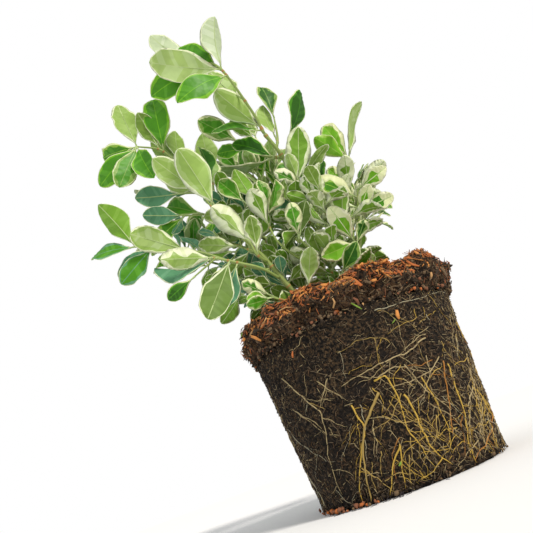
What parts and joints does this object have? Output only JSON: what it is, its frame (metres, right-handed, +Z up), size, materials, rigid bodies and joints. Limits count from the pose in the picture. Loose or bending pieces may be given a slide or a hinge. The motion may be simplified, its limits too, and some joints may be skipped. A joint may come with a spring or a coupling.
{
  "type": "variegated euonymus shrub on its root ball",
  "caption": "Young evergreen shrub with cream-edged green leaves, standing on its pot-shaped root ball with a collar of bark mulch.",
  "frame": {"origin": "centre of the flat underside of the root ball", "axes": "+Z up along the axis of the root ball, -X towards the long low spray of the crown, -Y towards the side that shows in the picture"},
  "size_m": [0.2439, 0.2088, 0.3912],
  "materials": {
    "soil": "rough, moist",
    "bark": "rough",
    "stem": "satin",
    "leaf": "satin",
    "cream_leaf": "satin"
  },
  "bodies": {
    "root": {"bark_mulch": "bark", "bough_back_right": "stem", "bough_low_left": "stem", "leaves_back_foot": "leaf", "leaves_back_left": "leaf", "leaves_back_low": "leaf", "leaves_back_middle": "leaf", "leaves_back_right": "leaf", "leaves_back_top": "leaf", "leaves_centre_foot": "leaf", "leaves_centre_front": "leaf", "leaves_centre_left": "leaf", "leaves_centre_middle": "leaf", "leaves_centre_top": "leaf", "leaves_front_left": "leaf", "leaves_front_low": "leaf", "leaves_inner_foot": "leaf", "leaves_inner_left": "leaf", "leaves_inner_low": "leaf", "leaves_leader_back": "leaf", "leaves_leader_left": "leaf", "leaves_left": "leaf", "leaves_left_back": "leaf", "leaves_left_inner": "leaf", "leaves_lone": "leaf", "leaves_low_behind": "leaf", "leaves_low_left": "leaf", "leaves_low_middle": "leaf", "leaves_low_right": "leaf", "leaves_low_spray": "leaf", "leaves_middle_left": "leaf", "leaves_right": "cream_leaf", "leaves_right_back": "leaf", "leaves_right_inner": "leaf", "leaves_right_low": "leaf", "leaves_right_middle": "leaf", "leaves_right_upper": "leaf", "leaves_side_left": "leaf", "leaves_side_low": "leaf", "leaves_top": "leaf", "leaves_upper_left": "leaf", "root_ball": "soil", "stem_back": "stem", "stem_back_left": "stem", "stem_far_left": "stem", "stem_leader": "stem", "stem_left": "stem", "stem_right": "stem", "stem_right_back": "stem"}
  },
  "joints": []
}
